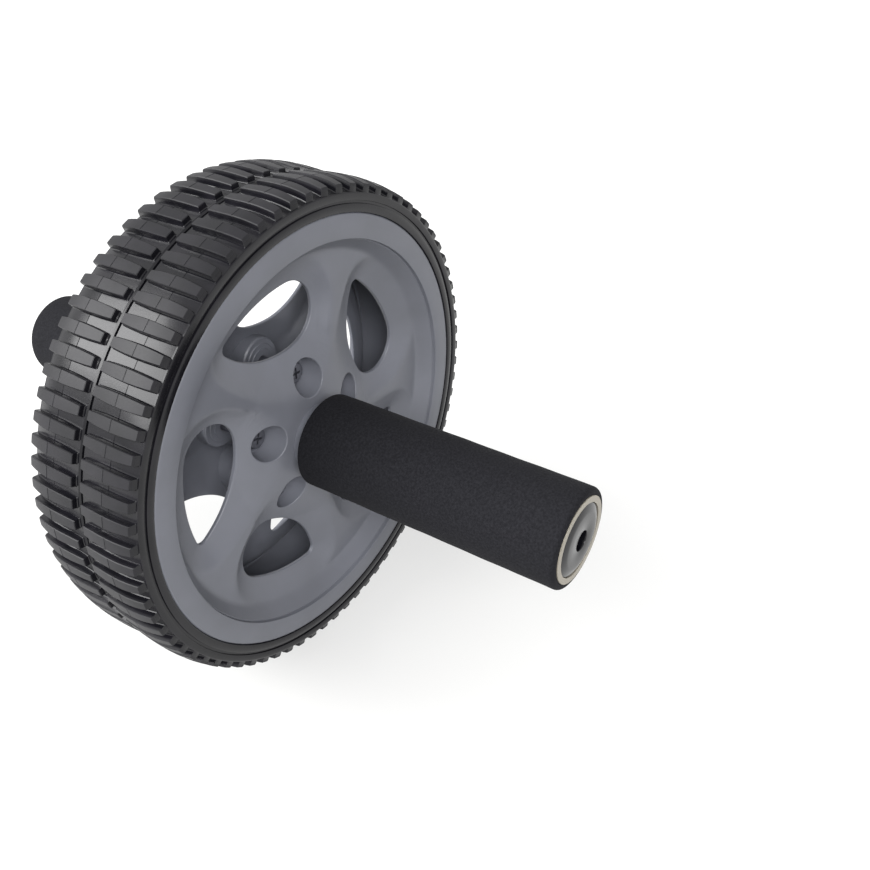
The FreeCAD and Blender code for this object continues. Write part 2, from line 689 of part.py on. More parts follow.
def wheel_nuts():
    """The hexagon nuts on the back half that the wheel screws run into."""
    body = new_body("wheel_nuts")
    sketch = new_sketch(body, "nut_outline", "XZ_Plane", WHEEL_SCREW_SEAT)
    hexagon(sketch, "nut_flats", SCREW_CIRCLE)
    circle(sketch, "screw_radius + nut_clearance", up=SCREW_CIRCLE)
    nut = extrude(body, "Pad", "nut", sketch, "nut_height", True)
    ring_of(body, "nuts", [nut], "screw_count")


def wheel_washers():
    """The flat washers under the wheel screws' heads and under their nuts."""
    body = new_body("wheel_washers")
    washers = []
    for name, depth in [("nut_washer", RECESS_DEPTH), ("head_washer", f"-{WHEEL_SCREW_SEAT}")]:
        sketch = new_sketch(body, f"{name}_outline", "XZ_Plane", depth)
        circle(sketch, f"{SCREW_HEAD} + wheel_washer_margin", up=SCREW_CIRCLE)
        circle(sketch, "screw_radius + wheel_washer_clearance", up=SCREW_CIRCLE)
        washers.append(extrude(body, "Pad", name, sketch, "wheel_washer_thickness", True))
    ring_of(body, "washers", washers, "screw_count")


axle_rod()
for wheel_side in SIDES:
    wheel_half(wheel_side)
    tyre(wheel_side)
    hub_bush(wheel_side)
    thrust_washer(wheel_side)
    handle_core(wheel_side)
    foam_grip(wheel_side)
    end_plug(wheel_side)
    handle_screw(wheel_side)
    handle_washer(wheel_side)
wheel_screws()
wheel_nuts()
wheel_washers()
document.recompute()

for item in document.Objects:
    if "Invalid" in item.State or "Error" in item.State:
        raise RuntimeError(f"{item.Label} did not build: {item.State}")
for body in sub_parts:
    if body.Shape.isNull() or not body.Shape.isValid():
        raise RuntimeError(f"{body.Label} has no valid shape")

os.makedirs("parts", exist_ok=True)
for body in sub_parts:
    body.Shape.exportStep(f"parts/{body.Label}.step")
    print(body.Label, len(body.Shape.Solids), "solids", round(body.Shape.Volume, 1), "cubic mm")
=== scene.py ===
import math

import bmesh
import bpy
import numpy as np
from mathutils import Matrix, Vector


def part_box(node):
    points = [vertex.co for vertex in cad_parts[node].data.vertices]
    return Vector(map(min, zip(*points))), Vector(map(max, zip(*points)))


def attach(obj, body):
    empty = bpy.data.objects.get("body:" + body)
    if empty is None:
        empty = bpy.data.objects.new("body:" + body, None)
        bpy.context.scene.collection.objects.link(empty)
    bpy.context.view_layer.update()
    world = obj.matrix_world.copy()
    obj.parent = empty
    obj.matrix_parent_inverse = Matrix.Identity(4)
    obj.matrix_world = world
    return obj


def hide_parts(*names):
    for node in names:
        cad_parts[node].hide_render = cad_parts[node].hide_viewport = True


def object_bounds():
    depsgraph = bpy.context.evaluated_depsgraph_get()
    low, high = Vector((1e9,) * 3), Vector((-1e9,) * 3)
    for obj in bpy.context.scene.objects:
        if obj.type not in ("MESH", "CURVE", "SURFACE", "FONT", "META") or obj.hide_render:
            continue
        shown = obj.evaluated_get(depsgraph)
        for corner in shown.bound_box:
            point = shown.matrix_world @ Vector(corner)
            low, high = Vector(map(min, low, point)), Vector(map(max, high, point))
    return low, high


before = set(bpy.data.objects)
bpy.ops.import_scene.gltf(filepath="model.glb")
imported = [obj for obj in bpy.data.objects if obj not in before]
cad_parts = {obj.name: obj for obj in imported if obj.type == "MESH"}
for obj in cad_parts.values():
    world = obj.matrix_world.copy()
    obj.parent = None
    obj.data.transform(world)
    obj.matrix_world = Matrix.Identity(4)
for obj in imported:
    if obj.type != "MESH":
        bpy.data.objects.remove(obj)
cad_low, cad_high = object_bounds()

# Axle: a 14 mm round bar of bright steel, turned down at its ends and tapped for the handle screws.
# It lies inside the hub and the handles, and only its turned journal can be glimpsed.
# A lathe leaves fine rings round it, which stretch its highlights across the bar.


def linear(hex_colour):
    """Turn an sRGB hex colour into linear red, green, blue and an alpha of 1."""
    shades = np.array([int(hex_colour[place:place + 2], 16) for place in (1, 3, 5)]) / 255
    straight = np.where(shades <= 0.04045, shades / 12.92, ((shades + 0.055) / 1.055) ** 2.4)
    return (*straight.tolist(), 1.0)


def put(material, kind, inputs=(), **settings):
    """Add a node to a material with its settings, and set or link its inputs; a known node is only set."""
    tree = material.node_tree
    node = tree.nodes.get(kind) or tree.nodes.new(kind)
    for name, value in settings.items():
        setattr(node, name, value)
    for socket, value in dict(inputs).items():
        if isinstance(value, bpy.types.NodeSocket):
            tree.links.new(value, node.inputs[socket])
        else:
            node.inputs[socket].default_value = value
    return node


def new_material(name):
    """Start a material that holds only a Principled BSDF and its output."""
    material = bpy.data.materials.new(name)
    material.use_nodes = True
    return material


def dress(material, *names):
    """Give CAD nodes a material in place of the plain one they come with."""
    for name in names:
        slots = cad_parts[name].data.materials
        slots.clear()
        slots.append(material)


MM = 0.001
TURNING_FEED = 0.4 * MM
# A wave texture turns through 20 radians in each unit of its scale.
WAVE_RATE = 20

turned_steel = new_material("turned_bright_steel")
place = put(turned_steel, "ShaderNodeTexCoord").outputs["Object"]
rings = put(turned_steel, "ShaderNodeTexWave", {
    "Vector": place, "Scale": 2 * math.pi / (WAVE_RATE * TURNING_FEED), "Distortion": 1.5, "Detail": 1.0,
}, wave_type="BANDS", bands_direction="Y").outputs["Fac"]
bump = put(turned_steel, "ShaderNodeBump", {"Height": rings, "Strength": 0.25, "Distance": 0.02 * MM})
put(turned_steel, "Principled BSDF", {
    "Base Color": linear("#B9BABD"), "Metallic": 1.0, "Roughness": 0.28, "Normal": bump.outputs["Normal"],
})
dress(turned_steel, "axle_rod", "thrust_washer_front", "thrust_washer_back")

# Hub bushes: flanged sleeves of natural nylon, pressed into both ends of the hub for the axle to turn in.
# Moulded nylon is a creamy off-white with a waxy, half-matt skin.
WAX_GRAIN = 0.6 * MM

nylon = new_material("natural_nylon")
place = put(nylon, "ShaderNodeTexCoord").outputs["Object"]
grain = put(nylon, "ShaderNodeTexNoise", {
    "Vector": place, "Scale": 1 / WAX_GRAIN, "Detail": 3.0,
}).outputs["Fac"]
waxy = put(nylon, "ShaderNodeMapRange", {"Value": grain, "To Min": 0.36, "To Max": 0.52}).outputs["Result"]
bump = put(nylon, "ShaderNodeBump", {"Height": grain, "Strength": 0.15, "Distance": 0.03 * MM})
put(nylon, "Principled BSDF", {
    "Base Color": linear("#DAD7CA"), "Roughness": waxy, "IOR": 1.53, "Normal": bump.outputs["Normal"],
})
dress(nylon, "hub_bush_front", "hub_bush_back")

# Wheel halves: two alike mouldings of mid-grey ABS, back to back, the front one turned half round.
# Each has a flat face ring, a dished web with five scooped windows, a hub, and a barrel for the tyre.
# Five recesses round the hub are sunk into cups and bosses, where screws clamp the halves together.
RIM_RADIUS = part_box("wheel_half_back")[1].x / MM
RIM_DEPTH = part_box("wheel_half_back")[1].y / MM
RING_INNER = RIM_RADIUS - 8.5
RING_STEP = 0.7
RING_WALL = 3.0
RING_BACK = RIM_DEPTH - RING_WALL
RING_BACK_INNER = RING_INNER + 1.8
RING_EDGE = 0.25
RING_EDGE_NEAR = 0.08
RING_ROW = RING_INNER + 4.0
STEP_GROOVE = 0.5
BARREL_INNER = RIM_RADIUS - 4.0
BARREL_CORNER = 0.6
EDGE_ROUND = 0.8
TYRE_GROOVE = (9.0, 15.0)
TYRE_GROOVE_RADIUS = RIM_RADIUS - 2.0
DISH_WIDTH = 4.5
DISH_SOFTNESS = 0.09
DISH_RADIUS = RING_INNER - DISH_WIDTH
DISH_ROWS = 8
SLOPE_ROWS = 10
WEB_DEPTH = RIM_DEPTH - 6.9
WEB_WALL = 2.9
BACK_DEPTH = WEB_DEPTH - WEB_WALL
DISH_BACK_RADIUS = DISH_RADIUS + 0.8
SLOPE_BACK_RADIUS = DISH_RADIUS + 2.6
SLOPE_BACK_RISE = 1.2
LIP_WALL = 1.5
CELLS = 5
CELL = 2 * math.pi / CELLS
WINDOW_TURN = math.radians(77.5)
WINDOW_OUTER = 58.1
WINDOW_BLUNT = 11.5
WINDOW_SIDE = 35.3
WINDOW_TIP = 2.7
BLUNT_TURN = math.radians(10.0)
TIP_TURN = math.radians(-21.3)
SCOOP_DEPTH = 4.3
SCOOP_WIDTH = 9.0
SCOOP_BLUNT_CUT = 2.6
SCOOP_HUB_SPREAD = 9.0
SCOOP_SOFTNESS = 0.05
SCOOP_HOLLOW = 0.25
LIP_ROUND = 0.6
LIP_BACK_ROUND = 0.4
WEB_START = 32.8
WEB_END = 64.0
WEB_END_ROW = 1.0
BACK_END_ROW = 2.0
FRONT_ROWS = 21
BACK_ROWS = 10
ROW_CROWDING = 1.3
CONE_RADIUS = 36.02
CONE_WIDTH = 23.5
CONE_HEIGHT = 2.7
HUB_COLLAR = 12.52
HUB_EDGE = 12.6
HUB_TUBE = 13.02
HUB_BORE = 9.02
HUB_FACE = RIM_DEPTH - 1.5
COLLAR_EDGE = (0.5, 0.45)
COLLAR_EDGE_NEAR = 0.15
SCREW_TURN = math.radians(90.0)
SCREW_CIRCLE = 22.9
RECESS_RADIUS = 6.7
RECESS_ROUND = 0.45
RECESS_DEPTH = WEB_DEPTH - 8.2
RECESS_DRAFT = 0.2
RECESS_CORNER = 0.5
RECESS_CORNER_NEAR = 0.15
CUP_RADIUS = 8.7
CUP_BACK = RECESS_DEPTH - 1.1
CUP_CORNER = 0.5
BOSS_RADIUS = 6.6
BOSS_STEP = 4.7
BOSS_END = CUP_BACK - 0.8
BOSS_LEDGE = BOSS_END + 0.4
BOSS_CHAMFER = 0.2
SCREW_HOLE = 2.2
STATION_FRONT_ROWS = 13
STATION_BACK_ROWS = 9
STATION_CROWDING = 1.2
ACROSS = 48
ALONG = 20
STATION_ALONG = 12
MARGIN_SHARE = 0.2
NORMAL_STEP = 0.02


def arc(centre, radius, first, last, count=40):
    """Points of a round stretch from one angle to another, as an array of pairs."""
    turn = np.linspace(first, last, count)
    return np.asarray(centre) + radius * np.stack([np.cos(turn), np.sin(turn)], axis=-1)


def window_loop():
    """The window's edge, evenly spaced along four stretches, and its outward normals.

    The edge is a chain of four arcs that touch smoothly: a narrow tip, the outer arc round the axle, a
    blunt end and a long side towards the hub, whose centre lies where its circle touches the tip and the
    blunt end. The stretches that face the four sides of the web's cell end a little way into those two.
    """
    blunt = (WINDOW_OUTER - WINDOW_BLUNT) * np.array([math.cos(BLUNT_TURN), math.sin(BLUNT_TURN)])
    tip = (WINDOW_OUTER - WINDOW_TIP) * np.array([math.cos(TIP_TURN), math.sin(TIP_TURN)])
    apart = np.linalg.norm(tip - blunt)
    heading = (tip - blunt) / apart
    to_blunt = WINDOW_SIDE - WINDOW_BLUNT
    to_tip = WINDOW_SIDE - WINDOW_TIP
    forward = (to_blunt ** 2 - to_tip ** 2 + apart ** 2) / (2 * apart)
    aside = math.sqrt(to_blunt ** 2 - forward ** 2)
    side = blunt + forward * heading + aside * np.array([-heading[1], heading[0]])
    blunt_end, tip_start = (math.atan2(*(end - side)[::-1]) % (2 * math.pi) for end in (blunt, tip))
    stretches = [
        arc(tip, WINDOW_TIP, tip_start, TIP_TURN + 2 * math.pi),
        arc((0, 0), WINDOW_OUTER, TIP_TURN, BLUNT_TURN),
        arc(blunt, WINDOW_BLUNT, BLUNT_TURN, blunt_end),
        arc(side, WINDOW_SIDE, blunt_end, tip_start),
    ]
    chain = np.concatenate(stretches + [stretches[0][:1]])
    length = np.concatenate([[0], np.cumsum(np.linalg.norm(np.diff(chain, axis=0), axis=1))])
    points_each = len(stretches[0])
    tip_end = length[points_each]
    blunt_start = length[2 * points_each]
    blunt_end = length[3 * points_each - 1]
    tip_margin = MARGIN_SHARE * tip_end
    blunt_margin = MARGIN_SHARE * (blunt_end - blunt_start)
    marks = [tip_end + tip_margin, blunt_start + blunt_margin, blunt_end - blunt_margin,
             length[-1] - tip_margin, length[-1] + tip_end + tip_margin]
    counts = [ACROSS, ALONG, ACROSS, ALONG]
    spots = np.concatenate([
        np.linspace(start, finish, count, endpoint=False)
        for start, finish, count in zip(marks, marks[1:], counts)
    ] + [marks[-1:]]) % length[-1]
    at = [np.interp((spots + shift) % length[-1], length, chain[:, axis])
          for shift in (0, -NORMAL_STEP, NORMAL_STEP) for axis in (0, 1)]
    loop = np.stack(at[0:2], axis=-1)
    heading = np.stack(at[4:6], axis=-1) - np.stack(at[2:4], axis=-1)
    heading /= np.linalg.norm(heading, axis=1, keepdims=True)
    return loop, np.stack([heading[:, 1], -heading[:, 0]], axis=-1)


def polar(points):
    """Radius and angle of flat points."""
    across, up = points[..., 0], points[..., 1]
    return np.stack([np.hypot(across, up), np.arctan2(up, across)], axis=-1)


def flat(radius_angle):
    """Flat points of radii and angles."""
    radius, angle = radius_angle[..., 0], radius_angle[..., 1]
    return np.stack([radius * np.cos(angle), radius * np.sin(angle)], axis=-1)


def spun(points, angle):
    """Flat points turned about the axle."""
    turn = np.array([[math.cos(angle), math.sin(angle)], [-math.sin(angle), math.cos(angle)]])
    return points @ turn


def soft_ramp(share, softness):
    """A ramp that is zero below zero and equal to its input above it, rounded between them."""
    return softness * np.logaddexp(0, share / softness)


window_edge, window_normal = window_loop()


def scoop(points):
    """Depth of the scoops at flat points of one cell, with the window's own angle along the first axis.

    Outside a window the depth falls with the distance to its edge, over a width that is least at the
    window's blunt end and greatest towards the hub, where it fades out hollow. The deepest of three
    neighbours holds.
    """
    radial = window_edge / np.linalg.norm(window_edge, axis=1, keepdims=True)
    outward = (window_normal * radial).sum(axis=1)
    sideways = radial[:, 0] * window_normal[:, 1] - radial[:, 1] * window_normal[:, 0]
    hubward = np.clip(-outward, 0, 1) ** 2
    width = SCOOP_WIDTH - SCOOP_BLUNT_CUT * np.clip(sideways, 0, 1) ** 2 + SCOOP_HUB_SPREAD * hubward
    depth = np.zeros(points.shape[:-1])
    for neighbour in (-1, 0, 1):
        own = spun(points, -neighbour * CELL)
        away = np.linalg.norm(own[..., None, :] - window_edge, axis=-1)
        nearest = away.argmin(axis=-1)
        distance = np.take_along_axis(away, nearest[..., None], axis=-1)[..., 0]
        share = soft_ramp(1 - distance / width[nearest], SCOOP_SOFTNESS)
        full = 1 + SCOOP_HOLLOW * (1 - hubward[nearest]) * (1 - share)
        depth = np.maximum(depth, SCOOP_DEPTH * full * share ** (1 + hubward[nearest] / 2))
    return depth


def crest(points):
    """The web's front before it is scooped: flat, with a low cone to the hub and a soft slope to the ring."""
    radius = np.linalg.norm(points, axis=-1)
    cone = CONE_HEIGHT * np.clip((CONE_RADIUS - radius) / CONE_WIDTH, 0, 1)
    rise = np.minimum(soft_ramp((radius - DISH_RADIUS) / DISH_WIDTH, DISH_SOFTNESS), 1)
    slope = (RIM_DEPTH - RING_STEP - WEB_DEPTH) * rise
    return WEB_DEPTH + cone + slope


def web_height(points):
    """Front face of the web at flat points of one cell: the crest less the scoops."""
    return crest(points) - scoop(points)


def web_back(points):
    """Back face of the web: a wall behind the front, which thins with the square of the scoop's depth."""
    depth = scoop(points)
    return crest(points) - depth - WEB_WALL + (WEB_WALL - LIP_WALL) * (depth / SCOOP_DEPTH) ** 2


def cell_sides(inner, outer, twist, along):
    """Corners of a cell in polar terms, as a loop: outer arc, far side, inner arc, near side.

    The sides lean by the twist towards the inner arc, so that they end on the screws' own cell.
    """
    half = CELL / 2
    corners = np.array([[outer, -half], [outer, half], [inner, twist + half], [inner, twist - half],
                        [outer, -half]])
    runs = [np.linspace(start, finish, count, endpoint=False)
            for start, finish, count in zip(corners, corners[1:], (ACROSS, along, ACROSS, along))]
    return np.concatenate(runs + [corners[-1:]])


def spread(inside, sides, shares):
    """Rows of flat points from a loop inside a cell to the cell's sides, mixed in polar terms."""
    start = polar(inside)
    return flat(start + shares[:, None, None] * (sides - start))


def stand(points, depth):
    """Flat points and their depths as places in space: across, along the axle, up."""
    depth = np.broadcast_to(depth, points.shape[:-1])
    return np.stack([points[..., 0], depth, points[..., 1]], axis=-1)


def around(section, start, count):
    """A section of (radius, depth) pairs carried all the way round the axle."""
    angle = start + np.linspace(0, 2 * math.pi, count + 1)
    radius, depth = np.asarray(section, dtype=float).T
    rows = np.stack([np.broadcast_to(radius, (count + 1, len(radius))),
                     np.broadcast_to(angle[:, None], (count + 1, len(radius)))], axis=-1)
    return stand(flat(rows), depth)


def quarter_round(radius, steps=4):
    """How far in and how far down a rounded edge lies, from its tangent on the face to its wall."""
    turn = np.linspace(0, math.pi / 2, steps + 1)
    return radius * np.sin(turn), radius * (1 - np.cos(turn))


def eased(corner, before, after, near):
    """Three points of a section round a corner: one before it, one just inside it and one after it."""
    corner, before, after = np.array([corner, before, after])
    return [*(corner + np.stack([before, near * (np.sign(before) + np.sign(after)), after]))]


def window_patches():
    """One window with its share of the web: front face, rounded lip, wall, back lip and back face."""
    sides = cell_sides(WEB_START, WEB_END, 0, ALONG)
    front_loop = window_edge + window_normal * LIP_ROUND
    back_loop = window_edge + window_normal * LIP_BACK_ROUND
    front = spread(front_loop, sides, np.linspace(0, 1, FRONT_ROWS) ** ROW_CROWDING)
    back = spread(back_loop, sides, np.linspace(0, 1, BACK_ROWS) ** ROW_CROWDING)
    lip_top = web_height(front_loop)
    lip_back = web_back(back_loop)
    rows = [stand(front_loop - window_normal * inward, lip_top - drop)
            for inward, drop in zip(*quarter_round(LIP_ROUND))]
    rows += [stand(back_loop - window_normal * inward, lip_back + drop)
             for inward, drop in list(zip(*quarter_round(LIP_BACK_ROUND, steps=2)))[::-1]]
    return [stand(front, web_height(front)), np.stack(rows), stand(back, web_back(back))]


def station_patches():
    """One screw station with its share of the hub: face, recess, screw hole, boss, cup and back face."""
    twist = SCREW_TURN - WINDOW_TURN
    centre = SCREW_CIRCLE * np.array([math.cos(twist), math.sin(twist)])
    front_sides = cell_sides(HUB_EDGE, WEB_START, twist, STATION_ALONG)
    back_sides = cell_sides(HUB_TUBE, WEB_START, twist, STATION_ALONG)
    heading = flat(front_sides) - centre
    heading /= np.linalg.norm(heading, axis=1, keepdims=True)
    edge = centre + heading * (RECESS_RADIUS + RECESS_ROUND)
    edge_height = web_height(edge)
    cup_edge = centre + heading * CUP_RADIUS
    front = spread(edge, front_sides, np.linspace(0, 1, STATION_FRONT_ROWS) ** STATION_CROWDING)
    back = spread(cup_edge, back_sides, np.linspace(0, 1, STATION_BACK_ROWS))
    rows = [stand(edge - heading * inward, edge_height - drop)
            for inward, drop in zip(*quarter_round(RECESS_ROUND))]
    section = eased((RECESS_RADIUS - RECESS_DRAFT, RECESS_DEPTH), (0, RECESS_CORNER), (-RECESS_CORNER, 0),
                    RECESS_CORNER_NEAR)
    section += [(SCREW_HOLE, RECESS_DEPTH), (SCREW_HOLE, BOSS_END), (BOSS_STEP, BOSS_END),
                (BOSS_STEP + BOSS_CHAMFER, BOSS_LEDGE), (BOSS_RADIUS - BOSS_CHAMFER, BOSS_LEDGE),
                (BOSS_RADIUS, BOSS_LEDGE + BOSS_CHAMFER), (BOSS_RADIUS, CUP_BACK),
                (CUP_RADIUS - CUP_CORNER, CUP_BACK), (CUP_RADIUS, CUP_BACK + CUP_CORNER)]
    rows += [stand(centre + heading * radius, depth) for radius, depth in section]
    rows.append(stand(cup_edge, web_back(cup_edge)))
    return [stand(front, web_height(front)), np.stack(rows), stand(back, web_back(back))]


def rim_patch():
    """One cell's share of the rim: the web's end, slope, step and groove, the face ring and the barrel.

    The rows of the slope are then raised to the web's front, and the last two to its back.
    """
    slope = np.concatenate([[WEB_END], np.linspace(WEB_END + WEB_END_ROW, DISH_RADIUS, DISH_ROWS),
                            np.linspace(DISH_RADIUS, RING_INNER - STEP_GROOVE, SLOPE_ROWS)[1:]])
    section = [(radius, WEB_DEPTH) for radius in slope]
    section += [(RING_INNER - STEP_GROOVE / 2, RIM_DEPTH - 2 * RING_STEP),
                (RING_INNER, RIM_DEPTH - RING_STEP)]
    section += eased((RING_INNER, RIM_DEPTH), (0, -RING_EDGE), (RING_EDGE, 0), RING_EDGE_NEAR)
    section.append((RING_ROW, RIM_DEPTH))
    section += [(RIM_RADIUS - EDGE_ROUND + inward, RIM_DEPTH - drop)
                for inward, drop in zip(*quarter_round(EDGE_ROUND))]
    section += [(RIM_RADIUS, TYRE_GROOVE[1]), (TYRE_GROOVE_RADIUS, TYRE_GROOVE[1]),
                (TYRE_GROOVE_RADIUS, TYRE_GROOVE[0]), (RIM_RADIUS, TYRE_GROOVE[0]), (RIM_RADIUS, 0),
                (BARREL_INNER, 0), (BARREL_INNER, RING_BACK - BARREL_CORNER),
                (BARREL_INNER - BARREL_CORNER, RING_BACK), (RING_BACK_INNER, RING_BACK),
                (SLOPE_BACK_RADIUS, BACK_DEPTH + SLOPE_BACK_RISE), (DISH_BACK_RADIUS, BACK_DEPTH),
                (WEB_END + BACK_END_ROW, BACK_DEPTH), (WEB_END, BACK_DEPTH)]
    patch = around(section, -CELL / 2, CELLS * ACROSS)
    cell = patch[:ACROSS + 1]
    points = cell[..., [0, 2]]
    heights = cell[..., 1].copy()
    heights[:, :len(slope)] = web_height(points[:, :len(slope)])
    heights[:, -2:] = web_back(points[:, -2:])
    return stand(points, heights)


def hub_patch():
    """One cell's share of the hub: the cone's foot, the collar round the bush, its bore and the tube.

    The first point is then raised to the web's front, and the last, at the tube's root, to its back.
    """
    section = [(HUB_EDGE, HUB_FACE)]
    section += eased((HUB_COLLAR, HUB_FACE), (0, -COLLAR_EDGE[0]), (-COLLAR_EDGE[1], 0), COLLAR_EDGE_NEAR)
    section += [(HUB_BORE, HUB_FACE), (HUB_BORE, 0), (HUB_TUBE, 0), (HUB_TUBE, 0)]
    cell = around(section, SCREW_TURN - WINDOW_TURN - CELL / 2, CELLS * ACROSS)[:ACROSS + 1]
    points = cell[..., [0, 2]]
    heights = cell[..., 1].copy()
    heights[:, 0] = web_height(points[:, 0])
    heights[:, -1] = web_back(points[:, -1])
    return stand(points, heights)


MERGE_GAP = 0.002 * MM


def piece(name, patches, material, crease, marks=None):
    """Join grids of places in millimetres into one closed mesh that faces outwards.

    A grid's neighbouring rows and columns make its faces, and points that fall together are merged.
    Edges that bend more than the crease angle stay sharp. Marks are one number for each point.
    """
    faces = []
    start = 0
    for patch in patches:
        rows, columns = patch.shape[:2]
        index = start + np.arange(rows * columns).reshape(rows, columns)
        corners = [index[:-1, :-1], index[:-1, 1:], index[1:, 1:], index[1:, :-1]]
        faces.append(np.stack(corners, axis=-1).reshape(-1, 4))
        start += rows * columns
    places = np.concatenate([patch.reshape(-1, 3) for patch in patches]) * MM
    mesh = bpy.data.meshes.new(name)
    mesh.from_pydata(places, [], np.concatenate(faces))
    if marks is not None:
        layer = mesh.attributes.new("mark", "FLOAT", "POINT")
        layer.data.foreach_set("value", marks.ravel().astype(np.float32))
    shape = bmesh.new()
    shape.from_mesh(mesh)
    bmesh.ops.remove_doubles(shape, verts=shape.verts, dist=MERGE_GAP)
    bmesh.ops.recalc_face_normals(shape, faces=shape.faces)
    shape.to_mesh(mesh)
    shape.free()
    mesh.shade_smooth()
    mesh.set_sharp_from_angle(angle=math.radians(crease))
    mesh.materials.append(material)
    whole = bpy.data.objects.new(name, mesh)
    bpy.context.collection.objects.link(whole)
    return whole


def turned_round(patches):
    """The same grids turned half round about the upright axis, for the front of the roller."""
    return [patch * np.array([-1, -1, 1]) for patch in patches]


# ABS from a satin-etched mould: an even cool grey, with a fine etched grain that breaks up its gloss.
# The etching is finer than the render can show, so it is drawn at 0.5 mm.
ETCH_GRAIN = 0.5 * MM
FLOW_MARK = 18 * MM

grey_abs = new_material("grey_satin_abs")
place = put(grey_abs, "ShaderNodeTexCoord").outputs["Object"]
etch = put(grey_abs, "ShaderNodeTexNoise", {
    "Vector": place, "Scale": 1 / ETCH_GRAIN, "Detail": 2.0,
}).outputs["Fac"]
flow = put(grey_abs, "ShaderNodeTexNoise", {
    "Vector": place, "Scale": 1 / FLOW_MARK, "Detail": 4.0,
}).outputs["Fac"]
tone = put(grey_abs, "ShaderNodeValToRGB", {"Fac": flow})
tone.color_ramp.elements[0].position = 0.3
tone.color_ramp.elements[0].color = linear("#6E7078")
tone.color_ramp.elements[1].position = 0.7
tone.color_ramp.elements[1].color = linear("#757780")
satin = put(grey_abs, "ShaderNodeMapRange", {"Value": etch, "To Min": 0.36, "To Max": 0.5}).outputs["Result"]
bump = put(grey_abs, "ShaderNodeBump", {"Height": etch, "Strength": 0.12, "Distance": 0.04 * MM})
put(grey_abs, "Principled BSDF", {
    "Base Color": tone.outputs["Color"], "Roughness": satin, "IOR": 1.54, "Normal": bump.outputs["Normal"],
})

cell_patches = window_patches() + station_patches() + [rim_patch(), hub_patch()]
half_patches = [stand(spun(patch[..., [0, 2]], WINDOW_TURN + cell * CELL), patch[..., 1])
                for cell in range(CELLS) for patch in cell_patches]
for side, patches in (("back", half_patches), ("front", turned_round(half_patches))):
    half = piece(f"wheel_half_{side}_moulding", patches, grey_abs, crease=38)
    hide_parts(f"wheel_half_{side}")
    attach(half, "wheel")

# Screws, washers and nuts: M4 pan-head screws through both wheel halves, and the M6 screws of the handles.
# Steel with a slightly blue zinc plating, whose fine crystals soften the reflections.
# The handles' screws are bright zinc; the wheel's use a darker, duller copy of the same zinc, which is
# painted shade.
PLATING_CRYSTAL = 0.35 * MM


def plated_steel(name, colour, least, most):
    """Plated steel of one colour, whose roughness differs between two limits from crystal to crystal."""
    steel = new_material(name)
    place = put(steel, "ShaderNodeTexCoord").outputs["Object"]
    crystal = put(steel, "ShaderNodeTexVoronoi", {
        "Vector": place, "Scale": 1 / PLATING_CRYSTAL,
    }).outputs["Color"]
    dull = put(steel, "ShaderNodeMapRange", {
        "Value": crystal, "To Min": least, "To Max": most,
    }).outputs["Result"]
    put(steel, "Principled BSDF", {"Base Color": linear(colour), "Metallic": 1.0, "Roughness": dull})
    return steel


zinc = plated_steel("zinc_plated_steel", "#A5A8AE", 0.32, 0.48)
# A darker, duller copy of the zinc: painted shade for the wheel's screws, washers and nuts, which sit deep
# inside the wheel.
zinc_painted_shade = plated_steel("zinc_plated_steel_painted_shade", "#74757D", 0.48, 0.62)
dress(zinc, "handle_screw_front", "handle_screw_back", "handle_washer_front", "handle_washer_back")
dress(zinc_painted_shade, "wheel_screws", "wheel_washers", "wheel_nuts")

# Tyres: two rings of black rubber, stretched over the barrels and keyed to them by an inner rib.
# Each has a row of barrel-shaped bars that bite the floor, and a groove round its side wall.
# The mould closes at mid-width, and leaves a fine line across the bars and between them.
TYRE_FIT = 0.05
TYRE_SEAT = RIM_RADIUS + TYRE_FIT
TYRE_RIB = TYRE_GROOVE_RADIUS + TYRE_FIT
TYRE_INNER = 0.5
INNER_CHAMFER = 0.5
SEAT_EDGE = 0.5
SEAT_EDGE_NEAR = 0.15
TYRE_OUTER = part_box("tyre_back")[1].y / MM
TREAD_FLOOR = RIM_RADIUS + 8.2
TREAD_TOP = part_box("tyre_back")[1].z / MM
FLOOR_CROWN = 1.8
BARS = 76
BAR_PITCH = 2 * math.pi / BARS
BAR_START = 1.9
BAR_END = TYRE_OUTER - 0.8
BAR_MIDDLE = (BAR_START + BAR_END) / 2
BAR_END_WIDTH = 3.3
BAR_SWELL = 0.9
INNER_CROWN = 0.6
OUTER_CROWN = 1.5
BAR_ROUND = 0.25
BAR_FOOT = 0.3
FOOT_SPREAD = 0.25
FLANK_DRAFT = 0.05
BAR_FACE = 0.06
BAR_SHOULDER = 0.25
BAR_ROWS = (2.0, 4.5, 7.5)
INNER_APRON = 0.3
OUTER_APRON = 0.2
END_SHARES = (0.0, 0.1, 0.9)
SEAM_DEPTH = 12.4
SEAM_SINK = 0.15
SEAM_FLOOR = 0.1
SEAM_EDGE = 0.2
SEAM_ROWS = (3.0, 5.5, 7.7)
SIDE_GROOVE = RIM_RADIUS + 3.5
# The rounded outer edge as (rise, sink) pairs, and half of the side groove as (half width, sink) pairs.
WALL_EDGE = ((0.12, 0.14), (-0.02, 0.04), (-0.25, 0.0))
GROOVE_HALF = ((0.8, 0.0), (0.55, 0.12), (0.4, 0.6))


def tread_floor(depth):
    """Radius of the tread between bars: level, then falling to the outer edge with the square of the way."""
    way = np.clip((depth - BAR_MIDDLE) / (TYRE_OUTER - BAR_MIDDLE), 0, 1)
    return TREAD_FLOOR - FLOOR_CROWN * way ** 2


def barrel(depth):
    """A bar's swell along its length: 1 at mid-bar, falling with the square of the way to 0 at its ends."""
    return 1 - ((np.clip(depth, BAR_START, BAR_END) - BAR_MIDDLE) / (BAR_END - BAR_MIDDLE)) ** 2


